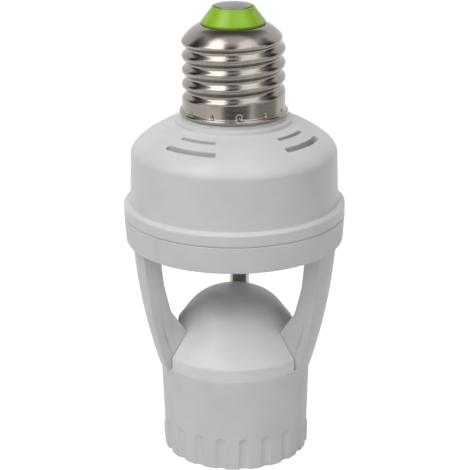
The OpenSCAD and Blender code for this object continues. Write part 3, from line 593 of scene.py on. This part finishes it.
under = [np.minimum(roof_r[::-1], CAVITY_R), roof_z[::-1] - ROOF_THICK]
bands = [even(np.vstack([bead, wall])), [roof_r, roof_z], even(collar), even(neck), under, even(cavity)]
cover_r, cover_z = (np.vstack([band[k] for band in bands]) for k in (0, 1))
roof_at = len(bead) + len(wall)
under_at = roof_at + len(roof_r) + len(collar) + len(neck)
faces = table_faces(len(cover_r), COVER_COLUMNS, True).reshape(len(cover_r), COVER_COLUMNS, 4)
keep, walls = np.ones(faces.shape[:2], bool), []
for which, (_, _, cut) in openings.items():
    out_top, in_top = roof_at + vent_rows[which + "+"], roof_at + vent_rows[which + "-"]
    out_low, in_low = (under_at + len(roof_r) - 1 - vent_rows[which + s] for s in "+-")
    hole = cut & np.roll(cut, -1)
    keep[out_top, hole] = keep[in_low, hole] = False
    a, b, e, f = (row * COVER_COLUMNS for row in (out_top, in_top, in_low, out_low))
    for c in np.flatnonzero(hole):
        d = (c + 1) % COVER_COLUMNS
        walls += [(a + c, a + d, f + d, f + c), (b + d, b + c, e + c, e + d)]
        if not hole[c - 1]:
            walls.append((b + c, a + c, f + c, e + c))
        if not hole[d]:
            walls.append((a + d, b + d, e + d, f + d))
points = np.stack([cover_r * np.cos(turn), cover_r * np.sin(turn), cover_z], -1) * MM
cover = mesh_object("cover_shell", points, np.vstack([faces[keep], walls]).tolist(), crease=COVER_CREASE)
cover.data.materials.append(FINISH["cover_plastic"])
print("cover_shell has", len(cover.data.polygons) * 2, "triangles")
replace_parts(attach(cover, "holder"), "top_cover")

# %% [markdown]
# The yoke is moulded in one with the ring: a ring that carries the head, four lugs for its screws, two bowed
# legs, a deep web along the front edge of each leg, and the sleeve. A leg or a web is an outline in the
# plane of the axis that is swept through part of a turn. Its two sides may lean, so each point of the outline
# has an angle of its own. A leg reaches a little less far to the back than to the front.

# %% The yoke
SLEEVE_H, RIM_R, TOP_R, BORE_R, LIP_R, LIP_Z = 25.2, 19.25, 20.05, 17.5, 16.0, 23.2
FLUTES, FLUTE_R, FLUTE_DEPTH, FLUTE_BALL_Z = 20, 1.8, 0.6, 7.7
PANEL_HALF, PANEL_DEPTH, PANEL_FOOT, PANEL_TOP, PANEL_SLOPE = math.radians(21), 0.35, 4.6, 24.0, 0.3
LEG_BOW, LEG_WALL, LEG_FOOT, LEG_HEAD = 148.0, 2.0, np.array([20.25, 24.2]), np.array([26.25, 55.55])
WEB_DEPTH, WEB_THICK, REAR_SHORT = 4.6, 1.8, 6
RING_Z, LEDGE_Z, RING_BORE, LEDGE_R = 58.25, 60.0, 26.15, 24.15
LUG_PLACE_R, LUG_TURNS, YOKE_CREASE = 21.4, (16, 118, 196, 298), 35

chord = LEG_HEAD - LEG_FOOT
away = np.array([-chord[1], chord[0]]) / np.hypot(*chord)
leg_centre = (LEG_FOOT + LEG_HEAD) / 2 + away * math.sqrt(LEG_BOW**2 - (np.hypot(*chord) / 2) ** 2)


def leg_line(inset, start, end, steps):
    """Points down or up the bowed leg, inset from its outer face:
    radius = centre + sqrt(bow^2 - (z - middle)^2) - inset."""
    z = np.linspace(start, end, steps + 1)
    return np.stack([leg_centre[0] + np.sqrt(LEG_BOW**2 - (z - leg_centre[1]) ** 2) - inset, z], 1)


def half_angle(radius):
    """Half the angle that leg and web take up: 37.5 degrees in the socket cap, and 32.7 outside it."""
    return np.interp(radius, [19.65, 20.9], [37.5, 32.7])


def sleeve_shift(angle, radius, height):
    """Flutes and grip panels in the sleeve's skin. A flute is a round groove, sqrt(R^2 - s^2) - (R - depth)
    deep, with s the distance from its middle line, or above that from the middle of its ball end. A panel is
    0.35 deep, with a slope all round."""
    skin = (radius > 18.9) & (height < SLEEVE_H - 0.05)
    step = 2 * np.pi / FLUTES
    aside = ((angle + step) % step - step / 2) * radius
    above = np.maximum(height - FLUTE_BALL_Z, 0)
    flute = np.sqrt(np.maximum(FLUTE_R**2 - aside**2 - above**2, 0)) - (FLUTE_R - FLUTE_DEPTH)
    from_edge = (PANEL_HALF - np.abs((angle + np.pi / 2) % np.pi - np.pi / 2)) * radius
    upright = ease((height - PANEL_FOOT) / PANEL_SLOPE) * ease((PANEL_TOP - height) / PANEL_SLOPE)
    panel = PANEL_DEPTH * ease(from_edge / PANEL_DEPTH) * upright
    return -np.where(skin, np.maximum(np.maximum(flute, 0), panel), 0)


def sector(outline, low, high, columns):
    """Points and faces of a closed solid: the outline swept from the angle low to the angle high, in degrees,
    with one of each for each of its points."""
    outline = np.asarray(outline, float)
    share = np.linspace(0, 1, columns + 1)[None, :]
    low, high = (np.broadcast_to(np.radians(a), len(outline))[:, None] for a in (low, high))
    angle = low + (high - low) * share
    radius, height = outline[:, :1], outline[:, 1:] + 0 * angle
    points = np.stack([radius * np.cos(angle), radius * np.sin(angle), height], -1)
    n, m = len(outline), columns + 1
    r, c = np.meshgrid(np.arange(n), np.arange(columns), indexing="ij")
    up = (r + 1) % n
    sides = np.stack([r * m + c, r * m + c + 1, up * m + c + 1, up * m + c], -1).reshape(-1, 4).tolist()
    ends = [[i * m for i in range(n)], [i * m + columns for i in range(n - 1, -1, -1)]]
    return points.reshape(-1, 3), sides + ends


def joined(solids):
    """One array of points and one list of faces from those of several solids."""
    faces, base = [], 0
    for points, own in solids:
        faces += [[i + base for i in face] for face in own]
        base += len(points)
    return np.vstack([points for points, _ in solids]), faces


ring = np.vstack([
    [(LEDGE_R, RING_Z)],
    round_corner((27.62, 58.68), 0.43, -90, -5, 6),
    straight((28.1, 59.4), (28.45, 64.85), 4),
    [(28.45, 64.93), (28.27, PARTING_Z - 0.02), (RING_BORE, PARTING_Z - 0.02), (RING_BORE, LEDGE_Z)],
    [(LEDGE_R, LEDGE_Z)],
])
sleeve = np.vstack([
    [(17.9, 0), (18.95, 0), (19.15, 0.08), (RIM_R, 0.3)],
    straight((RIM_R + 0.012, 0.5), (RIM_R + 0.32, 10.0), 38),
    straight((RIM_R + 0.32, 10.0), (RIM_R + 0.746, 23.5), 12),
    straight((RIM_R + 0.746, 23.5), (TOP_R, 24.9), 7),
    [(TOP_R, 25.0), (TOP_R - 0.15, SLEEVE_H), (LIP_R, SLEEVE_H)],
    [(LIP_R, LIP_Z), (BORE_R, LIP_Z), (BORE_R, 0.4)],
])
lug = [(1.4, RING_Z), (3.2, RING_Z), (3.2, 59.95), (1.4, 59.95)]
leg = np.vstack([leg_line(0, LEG_FOOT[1], LEDGE_Z, 30), leg_line(LEG_WALL, LEDGE_Z, LEG_FOOT[1], 30)])
web = np.vstack([
    [(15.2, SLEEVE_H)],
    leg_line(LEG_WALL - 0.01, SLEEVE_H, LEDGE_Z, 30),
    leg_line(WEB_DEPTH, LEDGE_Z, 41.5, 18),
    [(15.2, 34.8)],
])
solids = [turned(ring, 240), turned(sleeve, 720, shift=sleeve_shift)]
for a in np.radians(LUG_TURNS):
    solids.append(turned(lug, 40, place=(LUG_PLACE_R * math.cos(a), LUG_PLACE_R * math.sin(a))))
edge = half_angle(leg[:, 0])
solids += [sector(leg, -edge, edge - REAR_SHORT, 36), sector(leg, 180 - edge + REAR_SHORT, 180 + edge, 36)]
edge = half_angle(web[:, 0])
inner_edge = edge - np.degrees(WEB_THICK / web[:, 0])
solids += [sector(web, -edge, -inner_edge, 3), sector(web, 180 + inner_edge, 180 + edge, 3)]
points, faces = joined(solids)
yoke = mesh_object("yoke", points * MM, faces, crease=YOKE_CREASE)
yoke.data.materials.append(FINISH["frame_plastic"])
print("yoke has", sum(len(face) - 2 for face in faces), "triangles")
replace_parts(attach(yoke, "holder"), "lower_frame")
